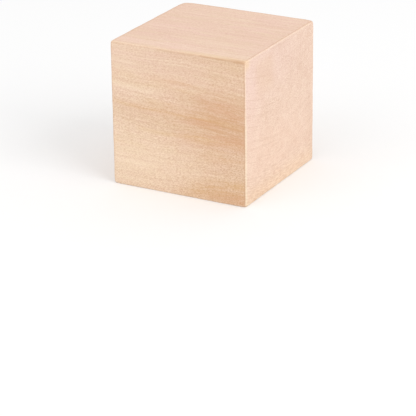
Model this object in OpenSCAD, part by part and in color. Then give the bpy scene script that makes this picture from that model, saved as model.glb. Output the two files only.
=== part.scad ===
// Wooden cube: one solid piece of pale, close-grained hardwood, sawn square and
// then sanded, so that its edges are eased and its corner points are domed.
//
// The origin is the middle of the base and +Z is up. +X runs with the grain, so
// the +X and -X faces are end grain and the other four faces are long grain.

/* [Cube] */
// Side of the cube, from face to face
side = 101.6; // [30:0.1:150]

/* [Edges] */
// Radius sanded along the four edges that run with the grain
long_edge_r = 1.0; // [0.5:0.05:2.5]
// Radius sanded along the eight edges around the two end-grain faces
end_edge_r = 1.2; // [0.5:0.05:2.5]

/* [Corners] */
// Radius of the dome that sanding leaves on each corner
corner_dome_r = 3.2; // [2.5:0.1:6]
// Depth that sanding takes off each corner point
corner_cut = 0.35; // [0.1:0.05:0.5]

/* [Hidden] */
// Segments in a whole circle, fine enough for edges of about a millimetre
$fn = 72;

half_side = side / 2;
// The middle of a rounded edge lies this share of its radius inside both faces
edge_inset = 1 - sqrt(1 / 2);
// Corner point that the three rounded edges would meet at before it is sanded
corner_y = half_side - long_edge_r * edge_inset;
corner_x = half_side - end_edge_r
    + sqrt(end_edge_r ^ 2 - max(0, end_edge_r - long_edge_r * edge_inset) ^ 2);
// Centre of the corner's dome, straight inwards from the corner point
dome_inset = (corner_dome_r + corner_cut) / sqrt(3);
dome_centre = [corner_x - dome_inset, corner_y - dome_inset, corner_y - dome_inset];

// Square section of the cube with its four corners rounded to radius r
module rounded_section(r) {
    flat = side - 2 * r;
    square([side, flat], center = true);
    square([flat, side], center = true);
    for (x = [-1, 1], y = [-1, 1])
        translate([x, y] * flat / 2)
            circle(r);
}

// Square bar along Z, with its four long edges rounded to radius r
module rounded_bar(r) {
    linear_extrude(height = side, center = true)
        rounded_section(r);
}

// Cube about the origin with all twelve edges rounded and sharp corner points
module rounded_block() {
    intersection() {
        rounded_bar(end_edge_r);
        rotate([90, 0, 0])
            rounded_bar(end_edge_r);
        rotate([0, 90, 0])
            rounded_bar(long_edge_r);
    }
}

// Wood that sanding removes from the +X +Y +Z corner: all that lies beyond the dome
module corner_waste() {
    translate(dome_centre)
        difference() {
            cube(half_side);
            sphere(corner_dome_r);
        }
}

module wooden_cube() {
    color("#eacab0")
        translate([0, 0, half_side])
            difference() {
                rounded_block();
                for (x = [0, 1], y = [0, 1], z = [0, 1])
                    mirror([x, 0, 0])
                        mirror([0, y, 0])
                            mirror([0, 0, z])
                                corner_waste();
            }
}

wooden_cube();
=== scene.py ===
"""Wooden cube: one solid block of pale, close-grained hardwood on a plain studio floor.

The cube is sawn square and sanded. Its grain runs along X, so the two X faces are end
grain with the arcs of the saw on them, and the other four faces are long grain. One
formula for the growth rings shapes the surface and colours it, so that each ring meets
itself round every edge.

The frame is the part's own: metres, +Z up, with the middle of the base at the origin.
The wood's own sizes are in millimetres about the middle of the cube.
"""

import logging
import math
from dataclasses import dataclass
from enum import Enum
from typing import Union

import bpy
import numpy as np
from mathutils import Color, Euler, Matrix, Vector


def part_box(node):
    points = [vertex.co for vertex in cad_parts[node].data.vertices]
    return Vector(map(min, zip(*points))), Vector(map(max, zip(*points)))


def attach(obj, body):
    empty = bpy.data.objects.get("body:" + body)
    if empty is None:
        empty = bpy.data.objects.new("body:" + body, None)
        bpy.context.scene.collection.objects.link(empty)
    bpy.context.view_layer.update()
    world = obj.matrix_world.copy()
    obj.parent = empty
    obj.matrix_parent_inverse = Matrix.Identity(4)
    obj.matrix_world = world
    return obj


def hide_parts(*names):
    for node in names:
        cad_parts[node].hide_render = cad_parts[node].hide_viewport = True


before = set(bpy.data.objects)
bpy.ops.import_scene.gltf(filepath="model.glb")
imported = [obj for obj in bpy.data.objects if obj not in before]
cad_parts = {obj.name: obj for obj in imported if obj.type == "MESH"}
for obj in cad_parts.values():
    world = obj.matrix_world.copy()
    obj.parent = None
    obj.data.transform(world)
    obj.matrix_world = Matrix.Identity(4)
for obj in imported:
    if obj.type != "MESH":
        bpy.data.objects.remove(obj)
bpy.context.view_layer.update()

LOG = logging.getLogger("wooden_cube")
NODE = "wooden_cube"
MM = 0.001


def add_object(name: str, data: bpy.types.ID) -> bpy.types.Object:
    """Puts a mesh, a lamp or a camera into the scene."""
    thing = bpy.data.objects.new(name, data)
    bpy.context.scene.collection.objects.link(thing)
    return thing


# ---------------------------------------- fields


class Field:
    """A number that varies over the wood: one output of a finish's node tree."""

    def __init__(self, tree: bpy.types.NodeTree, socket: bpy.types.NodeSocket) -> None:
        """Wraps an output socket of a node tree."""
        self.tree = tree
        self.socket = socket

    def through(self, operation: str, *others: "Quantity") -> "Field":
        """Puts the number through one Math node.

        Args:
            operation: the Math node's operation.
            others: its further inputs, in order.

        Returns:
            The node's result.
        """
        node = self.tree.nodes.new("ShaderNodeMath")
        node.operation = operation
        for index, value in enumerate((self, *others)):
            if isinstance(value, Field):
                self.tree.links.new(value.socket, node.inputs[index])
            else:
                node.inputs[index].default_value = float(value)
        return Field(self.tree, node.outputs[0])

    def __add__(self, other: "Quantity") -> "Field":
        """Sum."""
        return self.through("ADD", other)

    def __sub__(self, other: "Quantity") -> "Field":
        """Difference."""
        return self.through("SUBTRACT", other)

    def __mul__(self, other: "Quantity") -> "Field":
        """Product."""
        return self.through("MULTIPLY", other)

    def __truediv__(self, other: "Quantity") -> "Field":
        """Quotient."""
        return self.through("DIVIDE", other)

    def __rsub__(self, other: float) -> "Field":
        """Difference from a plain number."""
        return self * -1.0 + other

    __radd__ = __add__
    __rmul__ = __mul__

    def between(self, low: float, high: float, least: float = 0.0) -> "Field":
        """Rises smoothly from its least value at low to 1 at high; low may be the larger."""
        node = self.tree.nodes.new("ShaderNodeMapRange")
        node.interpolation_type = "SMOOTHSTEP"
        self.tree.links.new(self.socket, node.inputs["Value"])
        node.inputs["From Min"].default_value = min(low, high)
        node.inputs["From Max"].default_value = max(low, high)
        node.inputs["To Min"].default_value = least if low < high else 1.0
        node.inputs["To Max"].default_value = 1.0 if low < high else least
        return Field(self.tree, node.outputs["Result"])


Quantity = Union[Field, np.ndarray, float]


def sine(value: Quantity) -> Quantity:
    """Sine of a field or of an array, in radians."""
    return value.through("SINE") if isinstance(value, Field) else np.sin(value)


def root(value: Quantity) -> Quantity:
    """Square root of a field or of an array."""
    return value.through("SQRT") if isinstance(value, Field) else np.sqrt(value)


def sign(value: Quantity) -> Quantity:
    """Sign of a field or of an array."""
    return value.through("SIGN") if isinstance(value, Field) else np.sign(value)


def bell(distance: Quantity, width: float) -> Quantity:
    """Soft bump of height 1, which falls away over a width on both sides of 0."""
    share = distance * (1.0 / width)
    fall = share * share * -1.0
    return fall.through("EXPONENT") if isinstance(fall, Field) else np.exp(fall)


# ---------------------------------------- the wood's figure


@dataclass(frozen=True)
class Wave:
    """One slow undulation of the grain.

    Args:
        along: how far it takes to repeat along X, in millimetres.
        across: how far it takes to repeat along Y.
        up: how far it takes to repeat along Z.
        height: how far it moves the rings.
        start: its phase at the middle of the cube, in turns.
    """

    along: float
    across: float
    up: float
    height: float
    start: float

    def at(self, x: Quantity, y: Quantity, z: Quantity) -> Quantity:
        """Gives the undulation at a place, in millimetres."""
        turns = x * (1 / self.along) + y * (1 / self.across) + z * (1 / self.up) + self.start
        return sine(turns * math.tau) * self.height


@dataclass(frozen=True)
class Growth:
    """How the tree grew round the piece that the cube was cut from.

    Args:
        side: side of the cube, in millimetres.
        heart_y: where the heart of the trunk passes, across the cube.
        heart_z: how high above the cube's middle the heart passes.
        pinch: how steeply the rings draw together along X, at most.
        pinch_z: height at which they run level.
        pinch_span: height over which their slope swings there and back.
        ring: thickness of an average year ring.
        waves: slow undulations of the rings.
        seasons: (repeat, height) of the good and poor years, across the rings.
    """

    side: float
    heart_y: float = 90.0
    heart_z: float = 190.0
    pinch: float = 0.062
    pinch_z: float = -15.0
    pinch_span: float = 130.0
    ring: float = 2.3
    waves: tuple[Wave, ...] = (
        Wave(150.0, 310.0, 260.0, 0.7, 0.10),
        Wave(83.0, -140.0, 190.0, 0.35, 0.62),
        Wave(47.0, 95.0, -71.0, 0.20, 0.35),
        Wave(-29.0, 41.0, 52.0, 0.10, 0.81),
    )
    seasons: tuple[tuple[float, float], ...] = ((31.0, 1.1), (13.3, 0.45))

    def bend(self, x: Quantity, y: Quantity, z: Quantity) -> Quantity:
        """Gives how far the rings lie out of true at a place, in millimetres."""
        swing = sine((z - self.pinch_z) * (math.tau / self.pinch_span))
        bend = x * swing * -self.pinch
        for wave in self.waves:
            bend = bend + wave.at(x, y, z)
        return bend

    def radius(self, x: Quantity, y: Quantity, z: Quantity) -> Quantity:
        """Gives the distance from the heart of the tree, the same all along a ring.

        Args:
            x: place along the grain, in millimetres from the cube's middle, as are y and z.
            y: place across the cube.
            z: height.
        """
        aside = y - self.heart_y
        below = z - self.heart_z
        return root(aside * aside + below * below) + self.bend(x, y, z)

    def level(self, radius: Quantity) -> Quantity:
        """Gives the height above the middle at which a ring comes out on the front."""
        aside = self.side / 2 + self.heart_y
        return root(radius * radius - aside * aside) * -1.0 + self.heart_z

    def turn(self, y: Quantity, z: Quantity) -> Quantity:
        """Gives how far round the heart a place lies, in millimetres at the middle."""
        return (y - self.heart_y) / (z - self.heart_z) * -self.heart_z

    def late_wood(self, radius: Quantity) -> Quantity:
        """Gives how much of the dense wood of a year's end there is, from 0 to 1."""
        years = radius
        for repeat, height in self.seasons:
            years = years + sine(radius * (math.tau / repeat)) * height
        swing = sine(years * (math.tau / self.ring)) * 0.5 + 0.5
        return swing * swing * swing


@dataclass(frozen=True)
class SawMarks:
    """The arcs that a circular saw left across the end grain.

    Args:
        blade: radius of the blade, in millimetres.
        lowest_y: where the arcs are lowest on the +X face; the other face mirrors it.
        strokes: (pitch, weight, phase in turns) of the marks that lie over each other.
    """

    blade: float = 175.0
    lowest_y: float = 3.0
    strokes: tuple[tuple[float, float, float], ...] = (
        (1.55, 0.40, 0.00),
        (2.13, 0.28, 0.37),
        (3.71, 0.20, 0.71),
        (9.30, 0.12, 0.15),
    )

    def track(self, x: Quantity, y: Quantity, z: Quantity) -> tuple[Quantity, Quantity]:
        """Gives where a place lies along an arc and across the arcs, in millimetres."""
        aside = y * sign(x) - self.lowest_y
        return aside, z + root(aside * aside * -1.0 + self.blade**2)

    def at(self, x: Quantity, y: Quantity, z: Quantity) -> Quantity:
        """Gives how deep the marks are at a place, from 0 to 1."""
        travel = self.track(x, y, z)[1]
        swings = (
            sine(travel * (math.tau / pitch) + math.tau * start) * (weight / 2)
            for pitch, weight, start in self.strokes
        )
        return sum(swings, 0.5)


@dataclass(frozen=True)
class WornCorner:
    """A corner that was sanded or knocked off further than the edges beside it.

    Args:
        signs: which way the corner lies along X, Y and Z; 0 takes in both.
        extra_r: how much larger its radius is, in millimetres.
        reach: how far from the corner the larger radius dies away.
    """

    signs: tuple[int, int, int]
    extra_r: float
    reach: float = 3.2

    def at(self, points: np.ndarray, short: np.ndarray) -> np.ndarray:
        """Gives the extra radius at places on the sharp cube.

        Args:
            points: the places, in millimetres about the cube's middle.
            short: how far each lies from the faces along X, Y and Z.

        Returns:
            One extra radius for each place.
        """
        here = np.all(np.sign(points) * np.array(self.signs) >= 0, axis=1)
        return here * self.extra_r * np.exp(-np.sum(short**2, axis=1) / self.reach**2)


@dataclass(frozen=True)
class SandedEdges:
    """How the sanding eased the edges and corners.

    Args:
        half: half the cube's side, in millimetres.
        long_r: radius of the edges that run with the grain.
        end_r: radius of the edges round the end grain.
        end_reach: how far from an end its radius dies away into that of the long edges.
        unevenness: share by which the radius wanders along an edge.
        corners: the corners, all of them first and then the most worn ones.
        wander: how the radius wanders.
    """

    half: float
    long_r: float = 0.95
    end_r: float = 1.15
    end_reach: float = 5.0
    unevenness: float = 0.16
    corners: tuple[WornCorner, ...] = (
        WornCorner((0, 0, 0), 0.55),
        WornCorner((1, 1, 1), 0.30),
        WornCorner((-1, 1, 1), 2.2, reach=5.0),
    )
    wander: tuple[Wave, ...] = (
        Wave(37.0, 31.0, 34.0, 0.6, 0.2),
        Wave(-15.0, 17.0, 13.0, 0.4, 0.7),
    )

    def radius_at(self, points: np.ndarray) -> np.ndarray:
        """Gives the easing radius near places on the sharp cube, in millimetres about its middle."""
        short = self.half - np.abs(points)
        near_end = bell(short[:, 0], self.end_reach)
        radius = self.long_r + (self.end_r - self.long_r) * near_end
        wander = sum(wave.at(*points.T) for wave in self.wander)
        radius = radius * (1.0 + self.unevenness * wander)
        return radius + sum(corner.at(points, short) for corner in self.corners)

    def distance(self, points: np.ndarray) -> np.ndarray:
        """Gives how far each surface point lies from the nearest sharp edge."""
        return self.half - np.sort(np.abs(points), axis=1)[:, 1]


# ---------------------------------------- the mesh


class Face(Enum):
    """The six faces of the cube."""

    END_RIGHT = (0, True, (0, 0))
    END_LEFT = (0, False, (1, 0))
    FRONT = (1, False, (2, 0))
    BACK = (1, True, (0, 1))
    TOP = (2, True, (1, 1))
    BASE = (2, False, (2, 1))

    def __init__(self, axis: int, positive: bool, cell: tuple[int, int]) -> None:
        """Names what is known of each.

        Args:
            axis: index of the axis that the face is square to.
            positive: whether it looks along that axis.
            cell: its column and row in the map for baked finishes.
        """
        self.axis = axis
        self.positive = positive
        self.cell = cell


@dataclass(frozen=True)
class WoodenCube:
    """The cube itself, as one closed mesh that stands for the CAD solid.

    Each face is a grid, fine across the rings and the saw marks, coarse along the
    grain, and close over the eased edges.

    Args:
        side: side of the cube, in millimetres.
        growth: the rings.
        sawing: the saw marks.
        cells: how many cells the flats have along X, Y and Z.
        blend_cells: how many cells lead from a flat to an eased edge.
        edge_cells: how many cells cross each half of an eased edge.
        edge_zone: how far from the sharp edge the flats start, in radii of the easing.
        saw_depth: depth of the saw marks, in millimetres.
        ring_depth: how far soft wood lies below the dense wood on the long grain.
        end_ring: share of that on the end grain.
        fibre_depth: how far the fibres stand uneven on the long grain.
        fibre_reach: how many cells a fibre fades over, each way.
        fibre_limit: how uneven a fibre is before it is held back.
        relief_bounds: how far from the sharp edge the relief starts and is full.
        hollow: how far the faces fall in at their middles.
        seed: starts the random fibres.
    """

    side: float
    growth: Growth
    sawing: SawMarks
    cells: tuple[int, int, int] = (46, 92, 236)
    blend_cells: int = 2
    edge_cells: int = 5
    edge_zone: float = 2.2
    saw_depth: float = 0.035
    ring_depth: float = 0.018
    end_ring: float = 0.5
    fibre_depth: float = 0.022
    fibre_reach: int = 4
    fibre_limit: float = 2.0
    relief_bounds: tuple[float, float] = (0.5, 1.9)
    hollow: float = 0.06
    seed: int = 7

    @property
    def half(self) -> float:
        """Half the side."""
        return self.side / 2

    @property
    def edges(self) -> SandedEdges:
        """The eased edges, which follow from the side."""
        return SandedEdges(self.half)

    def _stations(self, cells: int) -> np.ndarray:
        """Places the grid's lines along one axis.

        Args:
            cells: how many cells the flat stretch has.

        Returns:
            Positions from one face to the other, close together over both edges.
        """
        radius = self.edges.end_r
        turns = np.linspace(0.0, math.pi / 4, self.edge_cells + 1)
        edge = self.half - radius + radius * np.tan(turns)
        flat_end = self.half - self.edge_zone * radius
        blend = np.linspace(flat_end, edge[0], self.blend_cells + 1)[1:-1]
        rise = np.concatenate([blend, edge])
        flat = np.linspace(-flat_end, flat_end, cells + 1)
        return np.concatenate([-rise[::-1], flat, rise])

    def _fibres(self, shape: tuple[int, ...]) -> np.ndarray:
        """Makes a block of uneven fibres that run along X.

        Args:
            shape: the grid's size along X, Y and Z.

        Returns:
            One number from about -1 to 1 for each grid point.
        """
        rng = np.random.default_rng(self.seed)
        block = rng.normal(size=shape)
        reach = self.fibre_reach
        kernel = np.hanning(2 * reach + 3)[1:-1]
        kernel /= np.sqrt(np.sum(kernel**2))
        padded = np.pad(block, ((reach, reach), (0, 0), (0, 0)), mode="wrap")
        smooth = sum(weight * padded[step : step + shape[0]] for step, weight in enumerate(kernel))
        return np.tanh(smooth / self.fibre_limit)

    def _depth(self, points: np.ndarray, normals: np.ndarray, fibres: np.ndarray) -> np.ndarray:
        """Works out how far the finished surface lies below the plain one.

        Args:
            points: places on the surface, in millimetres about the middle.
            normals: the way that the surface faces at each.
            fibres: the unevenness of the fibres at each.

        Returns:
            A depth in millimetres for each point, never negative.
        """
        x, y, z = points.T
        end = normals[:, 0] ** 2
        soft = 1.0 - self.growth.late_wood(self.growth.radius(x, y, z))
        long_depth = self.ring_depth * soft + self.fibre_depth * (0.5 + 0.5 * fibres)
        end_depth = self.saw_depth * self.sawing.at(x, y, z) + self.ring_depth * self.end_ring * soft
        reach = np.sort(np.abs(points) / self.half, axis=1)
        dish = self.hollow * (1 - reach[:, 0] ** 2) * (1 - reach[:, 1] ** 2)
        starts, full = self.relief_bounds
        flat = np.clip((self.edges.distance(points) - starts) / (full - starts), 0.0, 1.0)
        return dish + flat * ((1 - end) * long_depth + end * end_depth)

    def _shape(self, grid: np.ndarray, surface: np.ndarray) -> np.ndarray:
        """Places every point of the mesh.

        Args:
            grid: the points on the sharp cube, in millimetres about the middle.
            surface: which points of the whole grid those are.

        Returns:
            The points of the finished cube.
        """
        radius = self.edges.radius_at(grid)[:, None]
        core = np.clip(grid, radius - self.half, self.half - radius)
        out = grid - core
        normals = out / np.linalg.norm(out, axis=1, keepdims=True)
        fibres = self._fibres(surface.shape)[surface]
        depth = self._depth(grid, normals, fibres)[:, None]
        return core + normals * (radius - depth)

    @staticmethod
    def _quads(sheet: np.ndarray, face: Face) -> np.ndarray:
        """Joins one face's sheet of numbered points into outward quads, a row of numbers each."""
        corners = [sheet[:-1, :-1], sheet[1:, :-1], sheet[1:, 1:], sheet[:-1, 1:]]
        quads = np.stack(corners, axis=-1).reshape(-1, 4)
        return quads[:, ::-1] if (face.axis == 1) == face.positive else quads

    def _atlas(self, points: np.ndarray, quads: np.ndarray, face: Face) -> np.ndarray:
        """Lays one face flat in its cell of the map for baked finishes.

        Args:
            points: the points on the sharp cube, in millimetres about the middle.
            quads: the face's quads.
            face: which face it is.

        Returns:
            A map position for each corner of each quad.
        """
        columns, rows, margin = 3, 2, 0.006
        across = [axis for axis in range(3) if axis != face.axis]
        share = points[quads.ravel()][:, across] / self.side + 0.5
        size = np.array([1 / columns, 1 / rows]) - 2 * margin
        return share * size + margin + np.array(face.cell) / (columns, rows)

    def build(self) -> bpy.types.Object:
        """Builds the bare piece in the CAD solid's place."""
        lines = [self._stations(cells) for cells in self.cells]
        shape = tuple(len(line) for line in lines)
        surface = np.ones(shape, bool)
        surface[1:-1, 1:-1, 1:-1] = False
        numbers = np.full(shape, -1)
        numbers[surface] = np.arange(int(surface.sum()))
        grid = np.stack(np.meshgrid(*lines, indexing="ij"), axis=-1)[surface]
        points = self._shape(grid, surface)

        quads, places = [], []
        for face in Face:
            sheet = np.take(numbers, -1 if face.positive else 0, axis=face.axis)
            face_quads = self._quads(sheet, face)
            quads.append(face_quads)
            places.append(self._atlas(grid, face_quads, face))

        mesh = bpy.data.meshes.new("wooden_cube_block")
        placed = (points + np.array([0.0, 0.0, self.half])) * MM
        mesh.from_pydata(placed.tolist(), [], np.concatenate(quads).tolist())
        layer = mesh.uv_layers.new(name="OFBake")
        layer.data.foreach_set("uv", np.concatenate(places).ravel().astype(np.float32))
        mesh.shade_smooth()
        mesh.update()
        return add_object("cube_block", mesh)


# ---------------------------------------- the finish


Shade = tuple[float, float, float, float]
Shares = tuple[float, float, float]


def shade(red: int, green: int, blue: int) -> Shade:
    """Turns a colour as seen on a screen, 0 to 255, into the renderer's linear values."""
    return (*Color((red / 255, green / 255, blue / 255)).from_srgb_to_scene_linear(), 1.0)


class Tone(Enum):
    """The colours of the wood, and of the light and shade painted on it."""

    CLEAR_SIDE = shade(255, 224, 192)
    CLEAR_FLAT = shade(236, 198, 186)
    CLEAR_END = shade(223, 185, 183)
    TAN = shade(206, 158, 114)
    OLIVE = shade(210, 162, 86)
    ROSE = shade(216, 150, 110)
    PINK = shade(238, 202, 190)
    CREAM = shade(255, 236, 208)
    DARK = shade(190, 146, 112)
    PALE = shade(255, 238, 218)
    # Painted shade for the dark lines along the edges.
    EDGE_SHADE = shade(204, 160, 122)
    HONEY = shade(246, 218, 174)
    BLUSH = shade(252, 206, 190)
    LILAC = shade(232, 200, 197)
    PETAL = shade(252, 220, 212)
    # Painted warm bounce light, low on the end grain.
    PAINTED_BOUNCE_WARM = shade(255, 224, 202)
    OCHRE = shade(238, 202, 146)
    AMBER = shade(255, 200, 150)
    BUTTER = shade(236, 204, 158)
    ROSY = shade(248, 178, 192)
    # Painted highlight along the near upright edge.
    GLEAM = shade(246, 243, 210)


class Tint:
    """A colour that varies over the wood, built up one layer after another."""

    def __init__(self, tree: bpy.types.NodeTree, first: Tone) -> None:
        """Starts from one colour all over."""
        self.tree = tree
        self.now: Union[Shade, bpy.types.NodeSocket] = first.value

    def towards(self, tone: Tone, amount: Field) -> None:
        """Lays one more colour over the ones so far, by an amount from 0 to 1."""
        node = self.tree.nodes.new("ShaderNodeMix")
        node.data_type = "RGBA"
        node.clamp_factor = True
        factor, under, over = (socket for socket in node.inputs if socket.enabled)
        self.tree.links.new(amount.socket, factor)
        if isinstance(self.now, tuple):
            under.default_value = self.now
        else:
            self.tree.links.new(self.now, under)
        over.default_value = tone.value
        self.now = next(socket for socket in node.outputs if socket.enabled)


def noise(at: tuple[Field, Field, Field], detail: float, bounds: tuple[float, ...]) -> Field:
    """Makes uneven patches, each about 1 across in the numbers given.

    Args:
        at: three numbers that say where a point is.
        detail: how many finer layers lie on the patches.
        bounds: the levels of the noise, about 0.5, at which a patch starts and is full, and
            what is left between the patches, if anything.

    Returns:
        The patches, up to 1 in them.
    """
    tree = at[0].tree
    join = tree.nodes.new("ShaderNodeCombineXYZ")
    for index, value in enumerate(at):
        tree.links.new(value.socket, join.inputs[index])
    node = tree.nodes.new("ShaderNodeTexNoise")
    node.inputs["Scale"].default_value = 1.0
    node.inputs["Detail"].default_value = detail
    tree.links.new(join.outputs[0], node.inputs["Vector"])
    return Field(tree, node.outputs[0]).between(*bounds)


class By(Enum):
    """What a colour can vary by: lengths in millimetres, then shares from 0 to 1."""

    X = "along the grain, from the middle"
    Y = "towards the back, from the middle"
    Z = "upwards, from the middle"
    END = "from the nearer end"
    EDGE = "on the long grain, from the nearest long edge"
    RIM = "on the end grain, from the rim of its face"
    TURN = "how far the surface faces an end"
    LATE_WOOD = "dense wood of each year's end"
    SCRATCHES = "short scratches of the saw"
    BETWEEN_SCRATCHES = "wood between those scratches"
    SWEEPS = "few long scratches of the saw"
    CLOUDS = "soft clouds on the end grain"
    BETWEEN_CLOUDS = "wood between those clouds"
    RAYS = "fine pale rays that cross the rings"
    SAW_MARKS = "arcs of the saw"
    # The breaks fall on the worn edges and on the painted light and shade along them.
    BREAKS = "what the pores leave of a worn edge"
    # These patches only break up a painted shade line under the top front edge.
    SHADE_PATCHES = "where hands and sandpaper went along an edge"

    def at(self, place: "Place") -> Field:
        """Gives it at a point."""
        return place.by[self]


class Place:
    """Where a point of the wood is, as fields, in millimetres about the middle."""

    def __init__(self, tree: bpy.types.NodeTree, growth: Growth) -> None:
        """Reads the point's own place in the piece, and which way it faces."""
        half = growth.side / 2
        coordinates = tree.nodes.new("ShaderNodeTexCoord")
        split = tree.nodes.new("ShaderNodeSeparateXYZ")
        tree.links.new(coordinates.outputs["Object"], split.inputs[0])
        self.x = Field(tree, split.outputs[0]) * (1 / MM)
        self.y = Field(tree, split.outputs[1]) * (1 / MM)
        self.z = Field(tree, split.outputs[2]) * (1 / MM) - half
        self.fibre_z = self.z - growth.bend(self.x, self.y, self.z)
        facing = tree.nodes.new("ShaderNodeSeparateXYZ")
        tree.links.new(coordinates.outputs["Normal"], facing.inputs[0])
        turned = [Field(tree, output) for output in facing.outputs]
        self.end, self.side, self.flat = (way * way for way in turned)
        out_x, out_y, out_z = (way.through("ABSOLUTE") for way in (self.x, self.y, self.z))
        self.by = {
            By.X: self.x,
            By.Y: self.y,
            By.Z: self.z,
            By.END: half - out_x,
            By.EDGE: half - out_y.through("MINIMUM", out_z),
            By.RIM: half - out_y.through("MAXIMUM", out_z),
            By.TURN: self.end,
        }

    def facing(self, side: float, flat: float, end: float) -> Field:
        """Gives one number on the front and back, one above and below, one on the ends."""
        shares = ((self.side, side), (self.flat, flat), (self.end, end))
        return sum(way * share for way, share in shares if share)


@dataclass(frozen=True)
class Ramp:
    """A soft step that bounds an area of the wood.

    Args:
        by: what it is measured by.
        starts: where the area starts.
        full: where it is full, on either side of its start.
        outside: how much of it is left outside, from 0 to 1.
    """

    by: By
    starts: float
    full: float
    outside: float = 0.0

    def at(self, place: Place) -> Field:
        """Gives how far a point is inside, from 0 to 1."""
        return self.by.at(place).between(self.starts, self.full, self.outside)


@dataclass(frozen=True)
class Area:
    """A part of the wood with soft bounds.

    Args:
        side: its strength on the front and back, from 0 to 1.
        flat: its strength above and below.
        end: its strength on the end grain.
        where: the steps that bound it, and the unevenness that it follows.
    """

    side: float = 0.0
    flat: float = 0.0
    end: float = 0.0
    where: tuple[Union[Ramp, By], ...] = ()

    def at(self, place: Place) -> Field:
        """Gives the area's strength at a point."""
        strength = place.facing(self.side, self.flat, self.end)
        for bound in self.where:
            strength = strength * bound.at(place)
        return strength


@dataclass(frozen=True)
class Patches:
    """Uneven patches, stretched one way.

    Args:
        along: length of a patch, in millimetres.
        across: its size across that.
        shift: moves it, so that two of the same size differ.
        detail: how many finer layers lie on it.
        bounds: as for the noise.
        depth: how far a patch of the end grain reaches into the wood.
    """

    along: float
    across: float
    shift: float
    detail: float = 2.0
    bounds: tuple[float, ...] = (0.28, 0.72)
    depth: float = 10.0

    def at(self, place: Place) -> Field:
        """Gives patches that lie along the fibres, up to 1 in them."""
        at = (place.x / self.along + self.shift, place.y / self.across, place.fibre_z / self.across)
        return noise(at, self.detail, self.bounds)

    def on_end(self, along: Field, across: Field, place: Place) -> Field:
        """Gives patches of the end grain, at a point that lies so far along and across."""
        at = (along / self.along, across / self.across, place.x / self.depth + self.shift)
        return noise(at, self.detail, self.bounds)


@dataclass(frozen=True)
class Mottle:
    """Unevenness of one size: one colour in half of the patches, another between them.

    Args:
        shares: how strong it is on the sides, above and below, and on the ends.
        patches: the patches.
        deeper: their colour.
        paler: the colour between them.
    """

    shares: Shares
    patches: Patches
    deeper: Tone = Tone.DARK
    paler: Tone = Tone.PALE

    def lay(self, tint: Tint, place: Place) -> Field:
        """Lays both colours over a tint, and gives the patches, from 0 between them to 1 in them."""
        patches = self.patches.at(place)
        share = place.facing(*self.shares)
        tint.towards(self.deeper, patches * share)
        tint.towards(self.paler, (1.0 - patches) * share)
        return patches


@dataclass(frozen=True)
class Streak:
    """One soft streak of colour that follows the rings.

    Args:
        level: height above the middle at which it comes out on the front.
        width: how far it spreads across the rings.
        strength: how strong it is, from 0 to 1.
        starts: x where it starts and where it is full.
        stops: x where it is still full and where it ends.
    """

    level: float
    width: float
    strength: float
    starts: tuple[float, float] = (-200.0, -150.0)
    stops: tuple[float, float] = (150.0, 200.0)

    def at(self, place: Place, level: Field) -> Field:
        """Gives how strong the streak is at a point on a ring of this level, from 0 to 1."""
        share = bell(level - self.level, self.width) * self.strength
        share = share * place.x.between(*self.starts)
        return share * place.x.between(self.stops[1], self.stops[0])


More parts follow.
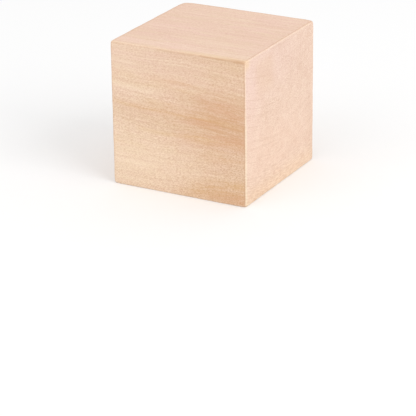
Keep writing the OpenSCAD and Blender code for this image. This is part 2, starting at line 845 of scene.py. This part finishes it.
# The streaks, in the order that they are laid.
STREAKS: dict[Tone, tuple[Streak, ...]] = {
    Tone.TAN: (
        Streak(-5.0, 55.0, 0.30, starts=(-45.0, 50.0)),
        Streak(3.0, 10.0, 0.15, starts=(-64.0, -34.0)),
        Streak(17.5, 11.0, 0.17, starts=(-4.0, 22.0)),
        Streak(9.0, 2.5, 0.08, starts=(4.0, 10.0), stops=(16.0, 26.0)),
        Streak(-1.5, 5.5, 0.09, starts=(-12.0, 2.0)),
        Streak(29.5, 4.0, 0.07, starts=(-26.0, -14.0), stops=(0.0, 10.0)),
        Streak(-51.0, 9.5, 0.32, starts=(-20.0, 30.0)),
        Streak(44.0, 12.0, 0.06, starts=(-30.0, 30.0)),
        Streak(101.0, 15.0, 0.22, starts=(-20.0, 35.0)),
        Streak(82.0, 5.5, 0.24),
        Streak(118.0, 12.0, 0.12, stops=(-10.0, 60.0)),
        Streak(149.0, 7.0, 0.22, stops=(-30.0, 0.0)),
    ),
    Tone.OLIVE: (
        Streak(6.9, 1.7, 0.25, starts=(-70.0, -30.0), stops=(20.0, 90.0)),
        Streak(26.5, 7.0, 0.09, stops=(-4.0, 14.0)),
        Streak(28.5, 1.1, 0.16, starts=(-18.0, 5.0), stops=(8.0, 24.0)),
        Streak(24.0, 1.8, 0.16, starts=(-8.0, 6.0), stops=(10.0, 26.0)),
        Streak(11.6, 2.4, 0.15, starts=(-28.0, -18.0), stops=(-2.0, 12.0)),
        Streak(-19.2, 1.6, 0.11, stops=(-32.0, -14.0)),
        Streak(-21.3, 2.5, 0.10, starts=(12.0, 24.0)),
        Streak(-7.3, 1.3, 0.17, starts=(-38.0, -20.0)),
        Streak(-8.7, 2.8, 0.22, starts=(-4.0, 8.0), stops=(18.0, 34.0)),
        Streak(-43.0, 6.0, 0.22, starts=(-2.0, 26.0)),
        Streak(-40.0, 3.0, 0.20, starts=(32.0, 44.0)),
        Streak(-46.5, 4.5, 0.08, starts=(-8.0, 4.0), stops=(12.0, 30.0)),
        Streak(66.0, 0.8, 0.30, stops=(10.0, 60.0)),
        Streak(127.0, 1.0, 0.30, starts=(-30.0, 0.0)),
    ),
    Tone.ROSE: (
        Streak(28.0, 5.0, 0.04, stops=(-6.0, 8.0)),
        Streak(4.0, 26.0, 0.10, starts=(-6.0, 44.0)),
        Streak(16.0, 5.5, 0.16, starts=(12.0, 34.0)),
        Streak(4.5, 3.5, 0.15, starts=(4.0, 14.0), stops=(18.0, 36.0)),
        Streak(-6.5, 6.0, 0.16, starts=(16.0, 38.0)),
        Streak(-52.0, 6.0, 0.14, starts=(16.0, 50.0)),
    ),
    Tone.PINK: (
        Streak(-14.0, 7.0, 0.16, starts=(-3.0, 4.0), stops=(6.0, 16.0)),
        Streak(42.0, 14.0, 0.25, stops=(-10.0, 50.0)),
    ),
    Tone.CREAM: (
        Streak(19.0, 3.0, 0.24, stops=(-28.0, -4.0)),
        Streak(-30.0, 19.0, 0.27, stops=(-28.0, 28.0)),
        Streak(-31.5, 3.5, 0.12, starts=(-2.0, 6.0), stops=(16.0, 28.0)),
        Streak(38.0, 11.0, 0.12, stops=(-42.0, -22.0)),
        Streak(58.5, 5.5, 0.35),
        Streak(76.0, 7.0, 0.30, starts=(-10.0, 15.0)),
    ),
}

# The bounds of the smaller areas.
FRONT = Ramp(By.Y, 10.0, -10.0)
LOWER = Ramp(By.Z, -30.0, -38.0)
UPPER = (Ramp(By.Z, 0.0, 30.0), Ramp(By.X, -60.0, 50.0, outside=0.2))
BLUSHING = (Ramp(By.Z, -28.0, 20.0), Ramp(By.Z, 42.0, 22.0, outside=0.4), Ramp(By.Y, -20.0, -44.0))
STAINED = (Ramp(By.Y, -40.0, -31.0), Ramp(By.Y, -4.0, -18.0), Ramp(By.Z, 16.0, 28.0), Ramp(By.Z, 50.0, 42.0))
# Where the painted shade on the long-grain half of the rounded end edges lies.
PAINTED_LIP_SHADE = (Ramp(By.END, 1.5, 0.9), Ramp(By.TURN, 0.6, 0.35), Ramp(By.X, -20.0, 20.0, outside=0.5))
# Where the painted highlight by the near upright edge lies.
PAINTED_GLEAM_REACH = (Ramp(By.X, -10.0, 10.0), Ramp(By.Y, -40.0, -47.0), Ramp(By.Z, 20.0, 0.0))
NEAR_TOP = Ramp(By.X, 28.0, 48.0)
NEAR_TIP = (Ramp(By.X, 42.0, 48.0), Ramp(By.Y, -42.0, -48.0), Ramp(By.Z, 42.0, 48.0))

# The casts of colour, a painted warm bounce light low on the end grain among them, and the fine marks of the
# end grain, in the order that they are laid.
CASTS: tuple[tuple[Tone, Area], ...] = (
    (Tone.DARK, Area(0.040, 0.012, 0.012, (By.LATE_WOOD,))),
    (Tone.AMBER, Area(side=0.075, where=(Ramp(By.Z, 0.0, -20.0, outside=0.733),))),
    (Tone.ROSY, Area(flat=0.022, end=0.055)),
    # Painted warm bounce light: lightens the lower, nearer part of the end grain.
    (Tone.PAINTED_BOUNCE_WARM, Area(end=0.25, where=(Ramp(By.Z, 20.0, -25.0), Ramp(By.Y, 90.0, 0.0)))),
    # Painted warm bounce light along the bottom of the end grain.
    (Tone.OCHRE, Area(end=0.28, where=(Ramp(By.Z, -34.0, -50.0), Ramp(By.Y, 50.0, 10.0, outside=0.786)))),
    (Tone.DARK, Area(end=0.07, where=(Ramp(By.Z, -26.0, -38.0), Ramp(By.Y, -16.0, -38.0)))),
    (Tone.LILAC, Area(end=0.28, where=(Ramp(By.Z, 5.0, 40.0), Ramp(By.Y, 65.0, -25.0)))),
    (Tone.LILAC, Area(end=0.015)),
    (Tone.OCHRE, Area(end=0.12, where=STAINED)),
    (Tone.DARK, Area(end=0.08, where=STAINED)),
    (Tone.PETAL, Area(end=0.28, where=BLUSHING)),
    (Tone.DARK, Area(end=0.14, where=(By.SCRATCHES, Ramp(By.Z, -10.0, -42.0, outside=0.714)))),
    (Tone.DARK, Area(end=0.12, where=(By.SWEEPS, Ramp(By.Y, 20.0, -30.0, outside=0.833)))),
    (Tone.DARK, Area(end=0.10, where=(By.SCRATCHES, LOWER))),
    (Tone.PALE, Area(end=0.18, where=(By.BETWEEN_SCRATCHES, LOWER))),
    (Tone.DARK, Area(end=0.045, where=(By.CLOUDS,))),
    (Tone.PALE, Area(end=0.03, where=(By.BETWEEN_CLOUDS,))),
    (Tone.PALE, Area(end=0.17, where=(By.RAYS,))),
    (Tone.DARK, Area(end=0.05, where=(By.SAW_MARKS,))),
)

# Light and shade painted along the edges, with some sanded wear and yellowing, in the order that they are
# laid.
EDGE_LIGHT_SHADE_AND_WEAR: tuple[tuple[Tone, Area], ...] = (
    # Painted shade on the long-grain half of the rounded end edges, where the lamp lights the rounding.
    (Tone.DARK, Area(side=0.50, flat=0.38, where=PAINTED_LIP_SHADE)),
    # Pale rims of the end grain: partly sanded wear, partly painted highlight.
    (
        Tone.CREAM,
        Area(end=0.55, where=(By.BREAKS, Ramp(By.RIM, 1.4, 0.5), Ramp(By.Z, 49.0, 44.0, outside=0.727))),
    ),
    # Painted highlight on the end grain along the near upright edge.
    (Tone.GLEAM, Area(end=0.30, where=(By.BREAKS, Ramp(By.RIM, 2.8, 1.2), *PAINTED_GLEAM_REACH))),
    # Painted shade: a soft darker band under the top front edge, stronger to the right.
    (Tone.EDGE_SHADE, Area(side=0.16, where=(Ramp(By.EDGE, 7.0, 1.5), *UPPER))),
    # Painted shade: a dark line just under the top front edge, broken up in patches.
    (Tone.EDGE_SHADE, Area(side=0.8, where=(By.BREAKS, By.SHADE_PATCHES, Ramp(By.EDGE, 2.1, 1.1), *UPPER))),
    # Pale line on the top along the front edge: partly sanded wear, partly painted highlight.
    (Tone.CREAM, Area(flat=0.25, where=(By.BREAKS, Ramp(By.EDGE, 2.2, 0.8), FRONT))),
    (
        Tone.BUTTER,
        Area(flat=0.42, where=(Ramp(By.EDGE, 6.5, 2.5), Ramp(By.X, -30.0, 40.0, outside=0.3), FRONT)),
    ),
    (Tone.BUTTER, Area(end=0.50, where=NEAR_TIP)),
    # Painted shade: a dark spot under the top front edge near the right end.
    (Tone.EDGE_SHADE, Area(side=0.35, where=(Ramp(By.EDGE, 3.2, 1.8), NEAR_TOP, FRONT, *UPPER))),
    # Painted shade on the top along the front edge near the right end.
    (Tone.EDGE_SHADE, Area(flat=0.60, where=(Ramp(By.EDGE, 2.0, 0.9), NEAR_TOP, FRONT))),
    # Painted shade: a dark line on the top along the back edge.
    (Tone.EDGE_SHADE, Area(flat=0.3, where=(Ramp(By.EDGE, 3.0, 1.0), Ramp(By.Y, -10.0, 10.0)))),
    # Painted shade on the top by the left end.
    (Tone.EDGE_SHADE, Area(flat=0.2, where=(Ramp(By.END, 3.5, 1.5), Ramp(By.X, 10.0, -10.0)))),
    # Painted light on the lower front edge, where the rounding turns down into shade.
    (Tone.CREAM, Area(side=0.1, where=(By.BREAKS, Ramp(By.EDGE, 2.2, 0.8), Ramp(By.Z, -30.0, -45.0)))),
)


@dataclass(frozen=True)
class BareWood:
    """Bare, sanded, pale hardwood with soft red-brown streaks, with light and shade painted into its colour
    low on the end grain and along the edges.

    Args:
        growth: the rings that the colour follows.
        sawing: the saw marks on the end grain.
        hues: the uneven hue of the wood.
        bands: its broad uneven bands.
        bundles: the bundles of its fibres.
        fibres: the fibres.
        pores: the pores.
        coarse: where the pores are coarser.
        streak_shares: how strong streaks are on the sides, above and below, and on the ends.
        streak_breaks: the patches that break them up.
        streak_break: how much each of those adds to a streak.
        streak_rest: what is left of it between them.
        scratches: the short scratches of the saw.
        sweeps: its few long ones.
        rays: the fine rays that cross the rings.
        clouds: the soft clouds on the end grain.
        mark_bounds: how deep a saw mark is that starts to show, and one that shows in full.
        shade_patches: patches that break up the painted shade line under the top front edge.
        pore_break: how much the pores take away from the worn edges and from the light and shade painted
            along them.
        roughness: how matt the wood is.
        end_roughness: how much more matt the end grain is.
        uneven_roughness: how much more matt the bundles and the pores are.
        ior: index of refraction.
        relief: height of the finest relief, in millimetres.
        late_ridge: share of it by which the late wood stands up.
        fibre_groove: share by which the bundles and the fibres each lie deeper.
        pore_pit: share by which the pores lie deeper.
    """

    growth: Growth
    sawing: SawMarks
    hues: tuple[Mottle, ...] = (
        Mottle((0.42, 0.34, 0.20), Patches(34.0, 9.0, 1.9), Tone.BLUSH, Tone.HONEY),
        Mottle((0.42, 0.30, 0.34), Patches(14.0, 2.6, 7.7), Tone.BLUSH, Tone.HONEY),
    )
    bands: tuple[Mottle, ...] = (
        Mottle((0.032, 0.028, 0.100), Patches(90.0, 14.0, 8.3)),
        Mottle((0.110, 0.055, 0.160), Patches(60.0, 6.0, 5.3)),
    )
    bundles: Mottle = Mottle((0.125, 0.085, 0.210), Patches(90.0, 2.2, 0.0))
    fibres: Mottle = Mottle((0.265, 0.150, 0.380), Patches(60.0, 0.75, 9.1, detail=1.0))
    pores: Mottle = Mottle((0.480, 0.260, 0.670), Patches(1.3, 0.45, 3.7, detail=3.0))
    coarse: tuple[Area, ...] = (
        Area(side=0.25, where=(Ramp(By.Z, 8.0, -32.0), Ramp(By.X, -40.0, 25.0))),
        Area(side=0.30, where=(Ramp(By.Z, 22.0, 6.0), Ramp(By.X, 28.0, 42.0))),
        Area(side=0.20, where=(Ramp(By.Z, -33.0, -41.0),)),
    )
    streak_shares: Shares = (1.0, 0.30, 0.10)
    streak_breaks: tuple[Patches, ...] = (
        Patches(40.0, 3.0, 2.3, bounds=(0.32, 0.62)),
        Patches(12.0, 1.3, 6.1, bounds=(0.34, 0.64)),
    )
    streak_break: float = 0.4
    streak_rest: float = 0.6
    scratches: Patches = Patches(5.5, 0.9, 0.0, bounds=(0.35, 0.65))
    sweeps: Patches = Patches(45.0, 1.9, 5.0, detail=1.0, bounds=(0.55, 0.66))
    rays: Patches = Patches(0.7, 7.0, 9.0, detail=1.0, bounds=(0.42, 0.66))
    clouds: Patches = Patches(60.0, 13.0, 14.2, detail=0.0, bounds=(0.33, 0.67))
    mark_bounds: tuple[float, float] = (0.35, 1.0)
    shade_patches: Patches = Patches(14.0, 6.0, 4.4, detail=1.0, bounds=(0.40, 0.60, 0.30))
    pore_break: float = 0.5
    roughness: float = 0.58
    end_roughness: float = 0.12
    uneven_roughness: float = 0.06
    ior: float = 1.45
    relief: float = 0.03
    late_ridge: float = 0.15
    fibre_groove: float = 0.3
    pore_pit: float = 0.4

    def material(self) -> bpy.types.Material:
        """Builds the finish as a material to put on the piece."""
        material = bpy.data.materials.new("bare_wood")
        material.use_nodes = True
        tree = material.node_tree
        shader = tree.nodes["Principled BSDF"]
        place = Place(tree, self.growth)
        radius = self.growth.radius(place.x, place.y, place.z)
        late = self.growth.late_wood(radius)

        tint = Tint(tree, Tone.CLEAR_SIDE)
        tint.towards(Tone.CLEAR_FLAT, place.flat)
        tint.towards(Tone.CLEAR_END, place.end)
        for mottle in (*self.hues, *self.bands):
            mottle.lay(tint, place)
        bundles = self.bundles.lay(tint, place)
        fibres = self.fibres.lay(tint, place)
        pores = self.pores.lay(tint, place)
        coarse = sum(area.at(place) for area in self.coarse)
        tint.towards(Tone.DARK, pores * coarse)
        tint.towards(Tone.PALE, (1.0 - pores) * coarse)
        self._lay_streaks(tint, place, self.growth.level(radius))
        self._add_patterns(place, late, pores)
        for tone, area in (*CASTS, *EDGE_LIGHT_SHADE_AND_WEAR):
            tint.towards(tone, area.at(place))
        tree.links.new(tint.now, shader.inputs["Base Color"])

        rough = self.roughness + place.end * self.end_roughness + (bundles + pores) * self.uneven_roughness
        tree.links.new(rough.socket, shader.inputs["Roughness"])
        shader.inputs["IOR"].default_value = self.ior

        bump = tree.nodes.new("ShaderNodeBump")
        bump.inputs["Distance"].default_value = self.relief * MM
        bump.inputs["Strength"].default_value = 1.0
        height = late * self.late_ridge - (bundles + fibres) * self.fibre_groove - pores * self.pore_pit
        height = height - place.by[By.SCRATCHES] * place.end
        tree.links.new(height.socket, bump.inputs["Height"])
        tree.links.new(bump.outputs[0], shader.inputs["Normal"])
        return material

    def _lay_streaks(self, tint: Tint, place: Place, level: Field) -> None:
        """Lays the streaks over the wood so far, by the level of the ring that a point lies on."""
        breaks = sum(patches.at(place) for patches in self.streak_breaks)
        strength = (breaks * self.streak_break + self.streak_rest) * place.facing(*self.streak_shares)
        for tone, streaks in STREAKS.items():
            tint.towards(tone, sum(streak.at(place, level) for streak in streaks) * strength)

    def _add_patterns(self, place: Place, late: Field, pores: Field) -> None:
        """Adds the unevenness of the wood to what colours can vary by."""
        aside, travel = self.sawing.track(place.x, place.y, place.z)
        scratches = self.scratches.on_end(aside, travel, place)
        clouds = self.clouds.at(place)
        turn = self.growth.turn(place.y, place.z)
        marks = self.sawing.at(place.x, place.y, place.z)
        place.by |= {
            By.LATE_WOOD: late,
            By.SCRATCHES: scratches,
            By.BETWEEN_SCRATCHES: 1.0 - scratches,
            By.SWEEPS: self.sweeps.on_end(aside, travel, place),
            By.CLOUDS: clouds,
            By.BETWEEN_CLOUDS: 1.0 - clouds,
            By.RAYS: self.rays.on_end(turn, place.z, place),
            By.SAW_MARKS: marks.between(*self.mark_bounds),
            By.BREAKS: 1.0 - pores * self.pore_break,
            By.SHADE_PATCHES: self.shade_patches.at(place),
        }


# ---------------------------------------- the studio


WHITE: Shade = (1.0, 1.0, 1.0, 1.0)


def seen_by_camera(tree: bpy.types.NodeTree) -> Field:
    """Gives 1 where the camera itself sees a thing, and 0 for the light that it sends on."""
    path = tree.nodes.new("ShaderNodeLightPath")
    return Field(tree, path.outputs["Is Camera Ray"])


@dataclass(frozen=True)
class Floor:
    """A plain pale floor that keeps the cube's soft shadow.

    Args:
        reach: half its width, in metres.
        colour: its own colour.
        roughness: how matt it is.
        lift: how far a camera sees it lightened towards white.
    """

    reach: float = 6.0
    colour: Shade = (0.88, 0.88, 0.88, 1.0)
    roughness: float = 0.9
    lift: float = 0.10

    def build(self) -> bpy.types.Object:
        """Builds the floor."""
        mesh = bpy.data.meshes.new("studio_floor")
        corners = [(-1, -1), (1, -1), (1, 1), (-1, 1)]
        mesh.from_pydata([(x * self.reach, y * self.reach, 0.0) for x, y in corners], [], [(0, 1, 2, 3)])
        mesh.materials.append(self._paper())
        floor = add_object("studio_floor", mesh)
        return floor

    def _paper(self) -> bpy.types.Material:
        """Makes the floor's matt paper."""
        material = bpy.data.materials.new("studio_paper")
        material.use_nodes = True
        tree = material.node_tree
        shader = tree.nodes["Principled BSDF"]
        shader.inputs["Base Color"].default_value = self.colour
        shader.inputs["Roughness"].default_value = self.roughness
        shader.inputs["Specular IOR Level"].default_value = 0.0
        shader.inputs["Emission Color"].default_value = WHITE
        lift = seen_by_camera(tree) * self.lift
        tree.links.new(lift.socket, shader.inputs["Emission Strength"])
        return material


@dataclass(frozen=True)
class SoftLamp:
    """One large soft lamp that looks at the cube.

    Args:
        name: what it is called.
        azimuth: where it stands, in degrees from the front towards +X.
        elevation: how high it stands, in degrees.
        distance: how far from the cube's middle, in metres.
        width: side of its square, in metres.
        power: in watts.
    """

    name: str
    azimuth: float
    elevation: float
    distance: float
    width: float
    power: float

    def build(self, aim: Vector) -> None:
        """Builds the lamp, turned to the place that it lights."""
        light = bpy.data.lights.new(self.name, "AREA")
        light.shape = "SQUARE"
        light.size = self.width
        light.energy = self.power
        lamp = add_object(self.name, light)
        away = direction(self.azimuth, self.elevation)
        lamp.location = aim + away * self.distance
        lamp.rotation_euler = away.to_track_quat("Z", "Y").to_euler()


def direction(azimuth: float, elevation: float) -> Vector:
    """Points from the cube to a place round it, by a vector of length 1.

    Args:
        azimuth: degrees from the front, which is -Y, towards +X.
        elevation: degrees above the floor.
    """
    turn, rise = math.radians(azimuth), math.radians(elevation)
    return Vector((math.sin(turn) * math.cos(rise), -math.cos(turn) * math.cos(rise), math.sin(rise)))


@dataclass(frozen=True)
class Viewpoint:
    """The camera: a long lens, a little above the cube and to its right.

    Args:
        azimuth: where it stands, in degrees from the front towards +X.
        elevation: how high it stands, seen from the cube's middle.
        distance: how far from the cube's middle, in sides of the cube.
        look_azimuth: the azimuth that it looks back along.
        look_elevation: the elevation that it looks down from.
        roll: how far it is turned about its own axis, in degrees.
        lens: focal length, in millimetres.
        sensor: width of the picture at the sensor.
    """

    azimuth: float = 28.58
    elevation: float = 19.37
    distance: float = 13.79
    look_azimuth: float = 28.80
    look_elevation: float = 22.35
    roll: float = -0.73
    lens: float = 176.96
    sensor: float = 36.0

    def build(self, middle: Vector, side: float) -> None:
        """Builds the camera and makes it the scene's own; the cube's sizes are in metres."""
        data = bpy.data.cameras.new("camera")
        data.lens = self.lens
        data.sensor_width = self.sensor
        camera = add_object("camera", data)
        camera.location = middle + direction(self.azimuth, self.elevation) * self.distance * side
        look = direction(self.look_azimuth, self.look_elevation).to_track_quat("Z", "Y")
        twist = Euler((0.0, 0.0, math.radians(self.roll))).to_quaternion()
        camera.rotation_mode = "QUATERNION"
        camera.rotation_quaternion = look @ twist
        bpy.context.scene.camera = camera


@dataclass(frozen=True)
class Studio:
    """The light all round and the soft lamps.

    Args:
        sky: brightness of the plain white surround.
        lamps: the soft lamps.
    """

    sky: float = 0.82
    lamps: tuple[SoftLamp, ...] = (
        SoftLamp("key_lamp", 75.0, 34.0, 3.0, 1.9, 30.8),
        SoftLamp("fill_lamp", -20.0, 35.0, 3.0, 2.1, 9.4),
    )

    def build(self, middle: Vector) -> None:
        """Builds the surround, and the lamps about the cube's middle, in metres."""
        world = bpy.data.worlds.new("studio_surround")
        bpy.context.scene.world = world
        world.use_nodes = True
        tree = world.node_tree
        background = tree.nodes["Background"]
        background.inputs["Color"].default_value = WHITE
        strength = seen_by_camera(tree) * (1.0 - self.sky) + self.sky
        tree.links.new(strength.socket, background.inputs["Strength"])
        for lamp in self.lamps:
            lamp.build(middle)
        bpy.context.scene.view_settings.view_transform = "Standard"


def main() -> None:
    """Builds the studio, the camera and the cube, and reports each piece."""
    logging.basicConfig(level=logging.INFO, format="%(name)s: %(message)s")
    low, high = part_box(NODE)
    middle = (low + high) / 2
    side = high.x - low.x
    Viewpoint().build(middle, side)
    Studio().build(middle)
    floor = Floor().build()
    LOG.info("%s: plain pale floor", floor.name)

    growth = Growth(side=side / MM)
    sawing = SawMarks()
    cube = WoodenCube(side=side / MM, growth=growth, sawing=sawing)
    piece = cube.build()
    piece.data.materials.append(BareWood(growth, sawing).material())
    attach(piece, "root")
    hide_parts(NODE)
    LOG.info("%s: solid block, sanded and sawn, %d faces", piece.name, len(piece.data.polygons))


if __name__ == "__main__":
    main()
